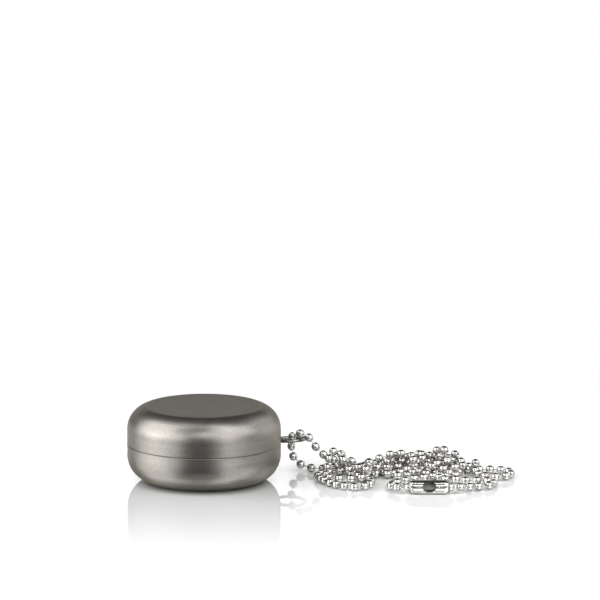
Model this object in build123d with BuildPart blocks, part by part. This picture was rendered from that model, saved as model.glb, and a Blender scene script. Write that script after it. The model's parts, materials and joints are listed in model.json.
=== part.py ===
from build123d import *

import math
import os

# A round screw-together metal capsule that hangs on a ball chain. The base cup has a threaded
# neck, the lid screws over it, and a wire eye in the base wall carries the closed chain.
# Millimetres, +Z up, origin on the floor under the capsule's axis, eye towards +X.

# ---------------------------------------------------------------- capsule, outside
capsule_radius = 22.0
base_height = 10.7  # floor to the parting line
lid_height = 10.9  # parting line to the flat top
base_shoulder = 7.7  # radius of the rounded lower edge
base_flat_inset = 6.5  # the flat foot ends this far in, and breaks into the rounded edge
lid_shoulder = 6.8  # radius of the rounded upper edge
lid_flat_inset = 5.4  # the flat top ends this far in, and breaks into the shoulder
seam_gap = 0.06  # between the closed lid and the base
seam_bevel = 0.18  # small bevel on both sides of the parting line

# ---------------------------------------------------------------- capsule, inside
gland_wall = 1.4  # metal left outside the O-ring's gland, the lid's thinnest wall
floor_thickness = 1.8
floor_fillet = 2.5
neck_wall = 1.4
neck_height = 5.6  # parting line to the rim of the neck
neck_bevel = 0.3
land_step = 0.9  # the plain land that the O-ring wipes stands out this far from the neck
land_lead_in = 0.25  # height of the cone from the neck out to the land
land_clearance = 0.1  # between the land's top and the step above the gland
thread_clearance = 0.6  # radial room for the two threads between neck and lid
thread_lead = 2.5  # the lid rises this much in one turn (two starts)
thread_turns = 1.5  # turns that free the lid
lid_mouth_clearance = 0.12  # radial, between the lid's mouth and the land
lid_mouth_height = 0.5  # parting line to the gland

# ---------------------------------------------------------------- seals
o_ring_section = 1.0  # diameter of the cord that the O-ring is made of
o_ring_fit = 0.05  # clearance round the O-ring
gasket_thickness = 1.0
gasket_inset = 0.25  # the gasket is this much smaller than the neck
gasket_fit = 0.05  # clearance between the closed lid's land and the gasket
lid_land_width = 3.2  # annular land that presses the gasket
lid_top_thickness = 1.8
lid_recess_fillet = 1.2

# ---------------------------------------------------------------- lanyard eye
eye_azimuth = 26.4  # degrees from +X towards +Y
eye_drop = 1.6  # parting line down to the eye's shank
eye_wire = 1.0
eye_outer_diameter = 9.5
eye_stand_off = 0.6  # from the collar to the ring's near edge
eye_roll = 6.0  # degrees, the ring's front edge leans up
shank_diameter = 1.6
shank_depth = 3.0  # into the base wall
shank_fit = 0.03
collar_diameter = 2.6
collar_thickness = 0.4
spot_face_depth = 0.05

# ---------------------------------------------------------------- ball chain
ball_diameter = 2.4
coupling_diameter = 4.0
coupling_length = 11.8
coupling_wall = 0.35
coupling_end_diameter = 2.7
coupling_mouth_diameter = 1.5
coupling_nose = 1.9  # length of each tapered end
coupling_slot = 0.45
coupling_window_length = 4.0
coupling_window_width = 3.2
coupling_x, coupling_y = 58.3, -19.2  # middle of the coupling's left end
coupling_turn = 0.0  # degrees about Z
coupling_roll = 76.0  # degrees that the slot turns from straight up towards the front

# ---------------------------------------------------------------- worked out from the above
capsule_height = base_height + lid_height
base_flat_radius = capsule_radius - base_flat_inset
lid_flat_radius = capsule_radius - lid_flat_inset
gland_radius = capsule_radius - gland_wall
land_radius = gland_radius - o_ring_section - 2 * o_ring_fit
neck_radius = land_radius - land_step
cavity_radius = neck_radius - neck_wall
rim_z = base_height + neck_height
gasket_radius = neck_radius - gasket_inset
gasket_top = rim_z + gasket_thickness
lid_land_z = gasket_top + gasket_fit
lid_bore_radius = neck_radius + thread_clearance
lid_mouth_radius = land_radius + lid_mouth_clearance
lid_recess_radius = lid_bore_radius - lid_land_width
o_ring_radius = land_radius + o_ring_fit + o_ring_section / 2  # middle of its section
gland_bottom = base_height + lid_mouth_height
gland_top = gland_bottom + o_ring_section + 2 * o_ring_fit
land_top = gland_top - land_clearance
thread_travel = thread_turns * thread_lead
eye_height = base_height - eye_drop
chain_z = ball_diameter / 2

os.makedirs("parts", exist_ok=True)


def keep(name, piece):
    """Label one finished piece and write it as its own STEP file."""
    piece.part.label = name
    export_step(piece.part, f"parts/{name}.step")


def tangent_height(shoulder, flat_radius):
    """Height over which an arc that is tangent to the outer wall falls to the flat's edge."""
    inward = flat_radius - (capsule_radius - shoulder)
    return math.sqrt(shoulder**2 - inward**2)


# ---------------------------------------------------------------- base shell
# One turned profile: flat foot, rounded edge, wall, land, threaded neck and bored cup.
eye_direction = Vector(1, 0, 0).rotate(Axis.Z, eye_azimuth)
eye_collar_seat = math.sqrt(capsule_radius**2 - (collar_diameter / 2) ** 2) - spot_face_depth
base_edge_top = tangent_height(base_shoulder, base_flat_radius)
with BuildPart() as base_shell:
    with BuildSketch(Plane.XZ):
        with BuildLine():
            foot = Line((0, 0), (base_flat_radius, 0))
            edge = RadiusArc(foot @ 1, (capsule_radius, base_edge_top), -base_shoulder)
            Polyline(
                edge @ 1,
                (capsule_radius, base_height - seam_bevel),
                (capsule_radius - seam_bevel, base_height),
                (land_radius, base_height),
                (land_radius, land_top - land_lead_in),
                (neck_radius, land_top),
                (neck_radius, rim_z - neck_bevel),
                (neck_radius - neck_bevel, rim_z),
                (cavity_radius, rim_z),
                (cavity_radius, floor_thickness + floor_fillet),
            )
            RadiusArc(
                (cavity_radius, floor_thickness + floor_fillet),
                (cavity_radius - floor_fillet, floor_thickness),
                floor_fillet,
            )
            Polyline((cavity_radius - floor_fillet, floor_thickness), (0, floor_thickness), (0, 0))
        make_face()
    revolve(axis=Axis.Z)
    # spot face and blind hole for the eye's collar and shank
    eye_seat = Plane(
        origin=eye_direction * eye_collar_seat + Vector(0, 0, eye_height), z_dir=eye_direction
    )
    with BuildSketch(eye_seat):
        Circle(collar_diameter / 2 + shank_fit)
    extrude(amount=capsule_radius - eye_collar_seat, mode=Mode.SUBTRACT)
    with BuildSketch(eye_seat):
        Circle(shank_diameter / 2 + shank_fit)
    extrude(amount=-(shank_depth + shank_fit), mode=Mode.SUBTRACT)
keep("base_shell", base_shell)

# ---------------------------------------------------------------- lid shell
# The flat top meets the rounded shoulder along a crisp circle. Inside are the O-ring gland at
# the mouth, the threaded bore, the land that presses the gasket, and a shallow recess.
shoulder_foot_z = capsule_height - tangent_height(lid_shoulder, lid_flat_radius)
with BuildPart() as lid_shell:
    with BuildSketch(Plane.XZ):
        with BuildLine():
            top = Line((0, capsule_height), (lid_flat_radius, capsule_height))
            round_edge = RadiusArc(top @ 1, (capsule_radius, shoulder_foot_z), lid_shoulder)
            Polyline(
                round_edge @ 1,
                (capsule_radius, base_height + seam_gap + seam_bevel),
                (capsule_radius - seam_bevel, base_height + seam_gap),
                (lid_mouth_radius, base_height + seam_gap),
                (lid_mouth_radius, gland_bottom),
                (gland_radius, gland_bottom),
                (gland_radius, gland_top),
                (lid_bore_radius, gland_top),
                (lid_bore_radius, lid_land_z),
                (lid_recess_radius, lid_land_z),
                (lid_recess_radius, capsule_height - lid_top_thickness - lid_recess_fillet),
            )
            RadiusArc(
                (lid_recess_radius, capsule_height - lid_top_thickness - lid_recess_fillet),
                (lid_recess_radius - lid_recess_fillet, capsule_height - lid_top_thickness),
                -lid_recess_fillet,
            )
            Polyline(
                (lid_recess_radius - lid_recess_fillet, capsule_height - lid_top_thickness),
                (0, capsule_height - lid_top_thickness),
                (0, capsule_height),
            )
        make_face()
    revolve(axis=Axis.Z)
keep("lid_shell", lid_shell)

# ---------------------------------------------------------------- O-ring in the lid's gland
with BuildPart() as o_ring:
    with BuildSketch(Plane.XZ):
        with Locations((o_ring_radius, (gland_bottom + gland_top) / 2)):
            Circle(o_ring_section / 2)
    revolve(axis=Axis.Z)
keep("o_ring", o_ring)

# ---------------------------------------------------------------- gasket on the neck's rim
with BuildPart() as gasket:
    with BuildSketch(Plane.XY.offset(rim_z)):
        Circle(gasket_radius)
    extrude(amount=gasket_thickness)
    chamfer(gasket.faces().sort_by(Axis.Z)[-1].edges(), gasket_thickness / 5)
keep("gasket", gasket)

# ---------------------------------------------------------------- lanyard eye
# A ring of wire on a collared shank. The shank sits in the base wall's blind hole.
eye_ring_radius = (eye_outer_diameter - eye_wire) / 2
eye_centre_distance = (
    eye_collar_seat + collar_thickness + eye_stand_off + eye_outer_diameter / 2
)
eye_up = Vector(0, 0, 1).rotate(Axis((0, 0, 0), eye_direction), -eye_roll)
eye_centre = eye_direction * eye_centre_distance + Vector(0, 0, eye_height)
eye_plane = Plane(origin=eye_centre, x_dir=eye_direction, z_dir=eye_up)
with BuildPart() as lanyard_eye:
    with BuildSketch(eye_seat):
        Circle(collar_diameter / 2)
    extrude(amount=collar_thickness)
    chamfer(lanyard_eye.edges().filter_by(GeomType.CIRCLE), collar_thickness / 6)
    with BuildSketch(eye_seat.offset(-shank_depth)):
        Circle(shank_diameter / 2)
    extrude(amount=shank_depth)
    with BuildSketch(eye_seat.offset(collar_thickness)):
        Circle(shank_diameter / 2)
    extrude(amount=eye_stand_off + eye_wire / 2, taper=12)
    with BuildSketch(Plane(origin=eye_centre, x_dir=eye_direction, z_dir=eye_plane.y_dir)):
        with Locations((eye_ring_radius, 0)):
            Circle(eye_wire / 2)
    revolve(axis=Axis(eye_centre, eye_up))
keep("lanyard_eye", lanyard_eye)


# ---------------------------------------------------------------- chain, the free stretches
def corner_radii(points):
    """Return the largest tangent arcs that the runs beside each corner have room for."""
    radii = []
    for before, corner, after in zip(points, points[1:], points[2:]):
        run_in, run_out = corner - before, after - corner
        half_turn = math.radians(run_in.get_angle(run_out)) / 2
        shorter = min(run_in.length, run_out.length)
        radii.append(0.45 * shorter / math.tan(half_turn))
    return radii


def chain_stretch(name, route):
    """Sweep one plain tube of the balls' diameter along straight runs joined by arcs."""
    points = [Vector(*point) for point in route]
    radii = corner_radii(points)
    with BuildPart() as stretch:
        with BuildLine() as path:
            FilletPolyline(*points, radius=radii)
        run = path.wires()[0]
        with BuildSketch(Plane(origin=run @ 0, z_dir=run % 0)):
            Circle(ball_diameter / 2)
        sweep()
    exact = math.pi * (ball_diameter / 2) ** 2 * run.length
    print(f"{name}: length {run.length:.1f}, radii {[round(r, 1) for r in radii]}")
    print(f"  volume {stretch.part.volume:.1f}, section times length {exact:.1f}")
    keep(name, stretch)


# The chain hangs over the eye's outer bar: one fall outside it, one down through the ring.
over_eye = [
    (40.4, 7.4, 3.9),
    (36.8, 7.0, 4.1),
    (33.7, 6.8, 6.0),
    (31.4, 7.0, 8.7),
    (29.7, 7.4, 11.4),
    (25.3, 10.8, 11.65),
    (24.8, 12.0, 7.5),
    (25.5, 13.0, 3.1),
    (28.8, 10.8, chain_z),
    (33.6, 8.8, chain_z),
    (37.0, 10.2, chain_z),
]
front_loop = [
    (38.8, 5.8, chain_z),
    (34.6, 4.8, chain_z),
    (32.2, 0.8, chain_z),
    (33.4, -4.6, chain_z),
    (36.0, -10.2, chain_z),
    (40.0, -14.6, chain_z),
    (44.6, -15.8, chain_z),
    (47.4, -12.2, chain_z),
    (48.0, -7.2, chain_z),
    (46.6, -2.0, chain_z),
]
coupling_axis = Vector(1, 0, 0).rotate(Axis.Z, coupling_turn)
coupling_z = coupling_diameter / 2
left_end = Vector(coupling_x, coupling_y, coupling_z)
right_end = left_end + coupling_axis * coupling_length
left_lead = [
    left_end,
    left_end - coupling_axis * 3.2,
    (52.9, -16.0, 1.5),
    (53.8, -11.2, chain_z),
    (57.0, -7.4, chain_z),
    (60.0, -4.2, chain_z),
]
right_lead = [
    right_end,
    right_end + coupling_axis * 2.8,
    (75.4, -16.2, 1.4),
    (78.6, -14.6, chain_z),
    (82.2, -13.0, chain_z),
    (82.8, -8.8, chain_z),
    (79.4, -6.5, chain_z),
    (75.4, -7.5, chain_z),
    (72.0, -5.0, chain_z),
]
right_edge = [
    (78.2, 1.6, chain_z),
    (81.2, -1.8, chain_z),
    (85.6, -2.0, chain_z),
    (88.3, 1.6, chain_z),
    (87.2, 6.0, chain_z),
    (83.2, 8.2, chain_z),
    (78.8, 7.6, chain_z),
]
chain_stretch("chain_over_eye", over_eye)
chain_stretch("chain_front_loop", front_loop)
chain_stretch("chain_left_lead", left_lead)
chain_stretch("chain_right_lead", right_lead)
chain_stretch("chain_right_edge", right_edge)


# ---------------------------------------------------------------- chain, the loose heaps
def chain_heap(name, levels):
    """Loft one closed mound through ellipses, each (centre x, y, z, half x, half y)."""
    with BuildPart() as heap:
        for x, y, z, half_x, half_y in levels:
            with BuildSketch(Plane((x, y, z))):
                Ellipse(half_x, half_y)
        loft()
    keep(name, heap)


chain_heap(
    "chain_heap_left",
    [(41.5, 4.4, 0.0, 9.6, 10.4), (41.5, 4.4, 3.4, 8.6, 9.2), (41.0, 4.8, 6.0, 5.2, 5.4)],
)
chain_heap(
    "chain_heap_right",
    [
        (66.6, 5.0, 0.0, 15.3, 12.6),
        (66.6, 5.0, 3.8, 14.2, 11.4),
        (66.8, 6.8, 7.0, 9.0, 7.2),
        (67.0, 8.4, 9.6, 3.4, 3.0),
    ],
)

# ---------------------------------------------------------------- chain coupling
# A rolled tube with drawn-in ends, open along one side, with a wider window in the middle.
coupling_plane = Plane(
    origin=left_end,
    x_dir=coupling_axis,
    z_dir=Vector(0, 0, 1).rotate(Axis((0, 0, 0), coupling_axis), coupling_roll),
)
barrel_radius = coupling_diameter / 2
end_radius = coupling_end_diameter / 2
mouth_radius = coupling_mouth_diameter / 2
with BuildPart() as chain_coupling:
    with BuildSketch(coupling_plane):
        with BuildLine():
            nose = ThreePointArc(
                (0, end_radius),
                (coupling_nose * 0.42, end_radius + (barrel_radius - end_radius) * 0.78),
                (coupling_nose, barrel_radius),
            )
            barrel = Line(nose @ 1, (coupling_length - coupling_nose, barrel_radius))
            ThreePointArc(
                barrel @ 1,
                (
                    coupling_length - coupling_nose * 0.42,
                    end_radius + (barrel_radius - end_radius) * 0.78,
                ),
                (coupling_length, end_radius),
            )
            Polyline(
                (coupling_length, end_radius),
                (coupling_length, mouth_radius),
                (coupling_length - coupling_wall, mouth_radius),
                (coupling_length - coupling_nose, barrel_radius - coupling_wall),
                (coupling_nose, barrel_radius - coupling_wall),
                (coupling_wall, mouth_radius),
                (0, mouth_radius),
                (0, end_radius),
            )
        make_face()
    revolve(axis=Axis(left_end, coupling_axis))
    # the open seam along one side, and the window that a ball is pressed in through
    with BuildSketch(coupling_plane):
        with Locations((coupling_length / 2, 0)):
            Rectangle(coupling_length + 2 * coupling_wall, coupling_slot)
            Ellipse(coupling_window_length / 2, coupling_window_width / 2)
    extrude(amount=coupling_diameter, mode=Mode.SUBTRACT)
keep("chain_coupling", chain_coupling)

# the last ball at each end of the chain, caught inside the coupling and resting on its wall
caught_inset = coupling_nose + ball_diameter / 4
ball_seat = 0.05
sunk = Vector(0, 0, coupling_wall - barrel_radius + ball_diameter / 2 + ball_seat)
for name, along in (
    ("end_ball_left", caught_inset),
    ("end_ball_right", coupling_length - caught_inset),
):
    with BuildPart() as end_ball:
        with Locations(left_end + coupling_axis * along + sunk):
            Sphere(ball_diameter / 2)
    keep(name, end_ball)

print(f"capsule {2 * capsule_radius:.1f} across, {capsule_height:.1f} high")
print(f"thread travel {thread_travel:.2f} in {thread_turns * 360:.0f} degrees")
print(f"eye centre {tuple(round(c, 2) for c in eye_centre)}")
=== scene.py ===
"""Round screw-lid metal capsule with a wire eye and a loose ball chain.

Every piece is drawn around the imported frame, in metres and in the frame's own axes:
X to the right, Y away from the viewer, Z up, with the foot of the capsule on Z = 0.
"""

import json
import logging
import math
from dataclasses import dataclass, field
from enum import Enum
from typing import Any, Mapping, Sequence

import bpy
import numpy as np
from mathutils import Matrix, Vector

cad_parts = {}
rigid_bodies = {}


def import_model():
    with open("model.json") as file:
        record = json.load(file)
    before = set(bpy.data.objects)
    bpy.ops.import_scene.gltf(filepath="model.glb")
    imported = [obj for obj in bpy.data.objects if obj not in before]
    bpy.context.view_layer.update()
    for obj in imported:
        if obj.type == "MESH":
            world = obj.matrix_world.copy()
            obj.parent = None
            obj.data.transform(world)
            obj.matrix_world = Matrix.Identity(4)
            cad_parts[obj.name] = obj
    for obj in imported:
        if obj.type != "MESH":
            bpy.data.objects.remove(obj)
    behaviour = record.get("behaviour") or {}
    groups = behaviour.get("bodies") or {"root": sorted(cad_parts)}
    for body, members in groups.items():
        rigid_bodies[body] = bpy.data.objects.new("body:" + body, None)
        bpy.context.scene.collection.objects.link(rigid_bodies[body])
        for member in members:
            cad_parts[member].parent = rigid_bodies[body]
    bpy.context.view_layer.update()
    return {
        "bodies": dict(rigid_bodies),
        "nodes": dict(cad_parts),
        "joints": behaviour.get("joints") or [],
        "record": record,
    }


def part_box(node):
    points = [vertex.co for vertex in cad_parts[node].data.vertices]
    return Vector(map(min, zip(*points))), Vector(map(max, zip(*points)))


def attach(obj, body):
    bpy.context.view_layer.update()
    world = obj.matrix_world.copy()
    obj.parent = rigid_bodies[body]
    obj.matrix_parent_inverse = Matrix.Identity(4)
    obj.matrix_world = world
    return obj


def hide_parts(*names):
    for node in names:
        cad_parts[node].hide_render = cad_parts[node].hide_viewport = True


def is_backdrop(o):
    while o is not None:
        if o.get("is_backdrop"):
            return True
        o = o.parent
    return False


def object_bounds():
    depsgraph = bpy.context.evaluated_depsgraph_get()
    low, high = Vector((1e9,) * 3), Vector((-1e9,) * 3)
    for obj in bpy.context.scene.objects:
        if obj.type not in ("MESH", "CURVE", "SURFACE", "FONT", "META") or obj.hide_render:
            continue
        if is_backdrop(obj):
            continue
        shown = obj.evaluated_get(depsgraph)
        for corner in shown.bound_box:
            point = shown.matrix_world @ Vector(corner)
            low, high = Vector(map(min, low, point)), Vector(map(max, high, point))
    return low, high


LOG = logging.getLogger("capsule")
MM = 0.001
Colour = tuple[float, float, float]


# ---------------------------------------------------------------------------------------
# Shader maths
# ---------------------------------------------------------------------------------------


class Socket:
    """A value inside a shader, so that sums on it read as plain Python."""

    def __init__(self, shader: "Shader", output: bpy.types.NodeSocket) -> None:
        """Keeps the shader that the value belongs to, and the output that carries it."""
        self.shader = shader
        self.output = output

    def _math(self, operation: str, first: Any, second: Any = None) -> "Socket":
        """Adds one Math node for an operation on one or two values."""
        values = {"0": first} if second is None else {"0": first, "1": second}
        return self.shader.node("ShaderNodeMath", {"operation": operation}, values)["Value"]

    def __add__(self, other: Any) -> "Socket":
        """self + other."""
        return self._math("ADD", self, other)

    def __sub__(self, other: Any) -> "Socket":
        """self - other."""
        return self._math("SUBTRACT", self, other)

    def __rsub__(self, other: Any) -> "Socket":
        """other - self."""
        return self._math("SUBTRACT", other, self)

    def __mul__(self, other: Any) -> "Socket":
        """self * other."""
        return self._math("MULTIPLY", self, other)

    def __truediv__(self, other: Any) -> "Socket":
        """self / other."""
        return self._math("DIVIDE", self, other)

    def __pow__(self, other: Any) -> "Socket":
        """self to a power."""
        return self._math("POWER", self, other)

    __radd__ = __add__
    __rmul__ = __mul__

    def larger(self, other: Any) -> "Socket":
        """The larger of self and other."""
        return self._math("MAXIMUM", self, other)

    def smaller(self, other: Any) -> "Socket":
        """The smaller of self and other."""
        return self._math("MINIMUM", self, other)

    def size(self) -> "Socket":
        """The value without its sign."""
        return self._math("ABSOLUTE", self)

    def ramp(self, start: float, end: float) -> "Socket":
        """Climbs smoothly from 0 where the value is start to 1 where it is end.

        Args:
            start: the value that gives 0.
            end: the value that gives 1. It may be the smaller of the two.

        Returns:
            The climb, held at 0 and 1 beyond the two ends.
        """
        settings = {"interpolation_type": "SMOOTHSTEP"}
        values = {"Value": self, "From Min": start, "From Max": end}
        return self.shader.node("ShaderNodeMapRange", settings, values)["Result"]

    def band(self, centre: float, half_width: float) -> "Socket":
        """1 where the value is at the centre, falling to 0 at half_width from it."""
        return (self - centre).size().ramp(half_width, 0.0)


class Made:
    """A node that was added, whose outputs are read by name."""

    def __init__(self, shader: "Shader", node: bpy.types.Node) -> None:
        """Keeps the shader and its node."""
        self.shader = shader
        self.node = node

    def __getitem__(self, name: str) -> Socket:
        """The output of that name."""
        return Socket(self.shader, self.node.outputs[name])


class Shader:
    """The node tree of one material or of the world."""

    def __init__(self, owner: Any) -> None:
        """Empties the owner's node tree, ready for new nodes.

        Args:
            owner: the material or the world.
        """
        owner.use_nodes = True
        self.tree = owner.node_tree
        self.tree.nodes.clear()

    def node(
        self,
        kind: str,
        settings: Mapping[str, Any] | None = None,
        values: Mapping[str, Any] | None = None,
    ) -> Made:
        """Adds any node.

        Args:
            kind: the node's type.
            settings: its settings, set before its inputs.
            values: what each input is set to or linked from. An input's key is its name,
                or its place in the list where several share a name.

        Returns:
            The node, whose outputs can be read by name.
        """
        made = self.tree.nodes.new(kind)
        for name, setting in (settings or {}).items():
            setattr(made, name, setting)
        for name, value in (values or {}).items():
            target = made.inputs[int(name) if name.isdigit() else name]
            if isinstance(value, Socket):
                self.tree.links.new(value.output, target)
            elif isinstance(value, tuple) and target.type == "RGBA":
                target.default_value = (*value, 1.0)
            else:
                target.default_value = value
        return Made(self, made)

    def mix(self, factor: Any, first: Any, second: Any) -> Socket:
        """Blends two colours, from first at factor 0 to second at factor 1.

        Args:
            factor: how far from the first to the second.
            first: the colour at factor 0.
            second: the colour at factor 1.

        Returns:
            The blended colour.
        """
        values = {"0": factor, "6": first, "7": second}
        made = self.node("ShaderNodeMix", {"data_type": "RGBA"}, values)
        return Socket(self, made.node.outputs[2])

    def vector(self, operation: str, first: Any, second: Any) -> Socket:
        """A Vector Math node on two vectors."""
        settings, values = {"operation": operation}, {"0": first, "1": second}
        return self.node("ShaderNodeVectorMath", settings, values)["Vector"]

    def place(self) -> Socket:
        """Where the point being shaded is, in the frame's own axes, in metres."""
        return self.node("ShaderNodeTexCoord")["Object"]

    def parts(self, vector: Socket) -> tuple[Socket, Socket, Socket]:
        """The three parts of a vector."""
        split = self.node("ShaderNodeSeparateXYZ", None, {"Vector": vector})
        return split["X"], split["Y"], split["Z"]

    def joined(self, x: Any, y: Any, z: Any) -> Socket:
        """A vector from three values."""
        return self.node("ShaderNodeCombineXYZ", None, {"X": x, "Y": y, "Z": z})["Vector"]

    def noise(self, where: Socket, scale: float, detail: float = 2.0, rough: float = 0.5) -> Socket:
        """Cloudy noise from 0 to 1, with that many cells to a metre."""
        values = {"Vector": where, "Scale": scale, "Detail": detail, "Roughness": rough}
        return self.node("ShaderNodeTexNoise", None, values)["Fac"]

    def bump(self, height: Socket, depth: float) -> Socket:
        """A normal from a height between 0 and 1 that stands for depth metres."""
        values = {"Height": height, "Distance": depth, "Strength": 1.0}
        return self.node("ShaderNodeBump", None, values)["Normal"]

    def blend(self, factor: Any, first: Socket, second: Socket) -> Socket:
        """Blends two shaders, from first at factor 0 to second at factor 1."""
        values = {"0": factor, "1": first, "2": second}
        return self.node("ShaderNodeMixShader", None, values)["Shader"]

    def surface(self, shader: Socket) -> None:
        """Sends a shader to the material's output."""
        self.node("ShaderNodeOutputMaterial", None, {"Surface": shader})

    def principled(self, values: Mapping[str, Any]) -> None:
        """Sends a Principled shader with those inputs to the material's output."""
        self.surface(self.node("ShaderNodeBsdfPrincipled", None, values)["BSDF"])


# ---------------------------------------------------------------------------------------
# Finishes
# ---------------------------------------------------------------------------------------


@dataclass(frozen=True)
class SatinTitanium:
    """Turned titanium that was bead blasted to an even, fine satin.

    The blasting leaves a fine grain, and under it the tool's turning lines and its wider
    passes still show as faint rings round the turning axis. Handled edges are a little
    brighter and smoother.

    Attributes:
        name: the material's name.
        colour: the metal's colour where it is light.
        shade: its colour in the hollows of the grain.
        roughness: its mean roughness.
        grain: cells of the blasted grain to a metre.
        grain_depth: how deep the grain is.
        line_pitch: the distance between turning lines.
        line_depth: how deep they are.
        pass_width: the width of one pass of the tool.
        cloud_scale: cells of the slow, handled unevenness to a metre.
        tone_range: the noise levels that give the shade and the full colour.
        edge_tint: the tint of what the metal mirrors at a grazing angle.
        worn_edges: radius and height of each worn edge.
        worn_width: how far the wear of an edge reaches.
        worn_gain: how much brighter a worn edge is.
    """

    name: str = "satin_titanium"
    colour: Colour = (0.312, 0.298, 0.274)
    shade: Colour = (0.246, 0.235, 0.216)
    roughness: float = 0.36
    grain: float = 9000.0
    grain_depth: float = 0.014 * MM
    line_pitch: float = 0.16 * MM
    line_depth: float = 0.002 * MM
    pass_width: float = 0.8 * MM
    cloud_scale: float = 160.0
    tone_range: tuple[float, float] = (0.36, 0.62)
    edge_tint: Colour = (0.93, 0.885, 0.82)
    worn_edges: tuple[tuple[float, float], ...] = ()
    worn_width: float = 0.22 * MM
    worn_gain: float = 1.55

    def material(self) -> bpy.types.Material:
        """Builds the finish.

        Returns:
            The material.
        """
        material = bpy.data.materials.new(self.name)
        shader = Shader(material)
        where = shader.place()
        x, y, z = shader.parts(where)
        radius = (x * x + y * y) ** 0.5
        rings = shader.joined(radius + z * 0.73, z * 0.31, 0.0)
        lines = shader.noise(rings, 1.0 / self.line_pitch, 1.0)
        grain = shader.noise(where, self.grain, 2.0, 0.6)
        speckle = shader.noise(where, self.grain * 0.2, 3.0, 0.7)
        clouds = shader.noise(where, self.cloud_scale, 3.0)
        passes = shader.noise(rings, 1.0 / self.pass_width, 2.0)
        tone = clouds * 0.15 + speckle * 0.45 + lines * 0.1 + passes * 0.3
        worn = self._worn(shader, radius, z, clouds)
        colour = shader.mix(tone.ramp(*self.tone_range), self.shade, self.colour)
        bright = tuple(min(1.0, part * self.worn_gain) for part in self.colour)
        colour = shader.mix(worn, colour, bright)
        roughness = self.roughness - 0.05 + clouds * 0.06 + grain * 0.05 - worn * 0.12
        height = grain * (self.grain_depth / self.line_depth) + lines
        normal = shader.bump(height, self.line_depth)
        values = {"Base Color": colour, "Metallic": 1.0, "Roughness": roughness, "Normal": normal}
        values["Specular Tint"] = self.edge_tint
        shader.principled(values)
        return material

    def _worn(self, shader: Shader, radius: Socket, z: Socket, clouds: Socket) -> Any:
        """Where edges are worn: a band round each edge, broken up by slow noise.

        Args:
            shader: the material's shader.
            radius: the distance from the turning axis.
            z: the height.
            clouds: the slow noise.

        Returns:
            1 where an edge is fully worn, and 0 away from edges.
        """
        worn: Any = None
        for edge_radius, edge_height in self.worn_edges:
            near = radius.band(edge_radius, self.worn_width)
            near = near * z.band(edge_height, self.worn_width)
            worn = near if worn is None else worn.larger(near)
        return clouds * 0.0 if worn is None else worn * clouds.ramp(0.35, 0.7)


@dataclass(frozen=True)
class BrightNickel:
    """Nickel-plated steel, bright as a mirror, with faint handling marks.

    Inside a hollow along X it can be given a darker colour and a rougher surface.

    Attributes:
        name: the material's name.
        colour: the metal's colour where it is clean.
        shade: its colour where it is marked.
        roughness: its mean roughness.
        mark_scale: handling marks to a metre.
        drawn: it was drawn along X, which leaves fine lines.
        bore: the y, z and radius of a hollow along X.
        bore_colour: the colour in the hollow.
        bore_roughness: how much rougher it is in there.
    """

    name: str = "bright_nickel"
    colour: Colour = (0.66, 0.65, 0.63)
    shade: Colour = (0.42, 0.41, 0.385)
    roughness: float = 0.045
    mark_scale: float = 700.0
    drawn: bool = False
    bore: tuple[float, float, float] | None = None
    bore_colour: Colour = (0.33, 0.32, 0.31)
    bore_roughness: float = 0.35

    def material(self) -> bpy.types.Material:
        """Builds the finish.

        Returns:
            The material.
        """
        material = bpy.data.materials.new(self.name)
        shader = Shader(material)
        where = shader.place()
        marks = shader.noise(where, self.mark_scale, 4.0, 0.65)
        fine = shader.noise(where, self.mark_scale * 9.0, 2.0)
        if self.drawn:
            along = shader.vector("MULTIPLY", where, (0.12, 1.0, 1.0))
            fine = shader.noise(along, self.mark_scale * 12.0, 2.0)
        colour = shader.mix(marks.ramp(0.38, 0.72), self.colour, self.shade)
        roughness = self.roughness + marks * 0.10 - 0.04
        if self.bore is not None:
            inside = self._inside(shader, where, *self.bore)
            colour = shader.mix(inside, colour, self.bore_colour)
            roughness = roughness + inside * self.bore_roughness
        normal = shader.bump(fine, 0.0016 * MM)
        values = {"Base Color": colour, "Metallic": 1.0, "Roughness": roughness, "Normal": normal}
        shader.principled(values)
        return material

    @staticmethod
    def _inside(shader: Shader, where: Socket, y: float, z: float, radius: float) -> Socket:
        """1 inside a hollow along X with its axis at y and z, and 0 outside it.

        Args:
            shader: the material's shader.
            where: the point being shaded.
            y: the axis's Y.
            z: the axis's Z.
            radius: the hollow's radius.

        Returns:
            1 in the hollow, 0 outside it, with a narrow soft edge.
        """
        _, across, up = shader.parts(where)
        off = ((across - y) * (across - y) + (up - z) * (up - z)) ** 0.5
        return off.ramp(radius + 0.03 * MM, radius - 0.05 * MM)


@dataclass(frozen=True)
class MouldedRubber:
    """Moulded rubber with a faint matt skin and dust caught in it."""

    name: str = "moulded_rubber"
    colour: Colour = (0.020, 0.020, 0.021)
    dust: Colour = (0.060, 0.058, 0.055)
    roughness: float = 0.52

    def material(self) -> bpy.types.Material:
        """Builds the finish.

        Returns:
            The material.
        """
        material = bpy.data.materials.new(self.name)
        shader = Shader(material)
        where = shader.place()
        skin = shader.noise(where, 5200.0, 3.0, 0.6)
        patches = shader.noise(where, 420.0, 3.0)
        colour = shader.mix((patches * 0.6 + skin * 0.4).ramp(0.42, 0.72), self.colour, self.dust)
        roughness = self.roughness + skin * 0.16 - 0.05
        normal = shader.bump(skin, 0.012 * MM)
        values = {"Base Color": colour, "Roughness": roughness, "Normal": normal}
        shader.principled(values)
        return material


# ---------------------------------------------------------------------------------------
# Meshes
# ---------------------------------------------------------------------------------------


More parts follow.
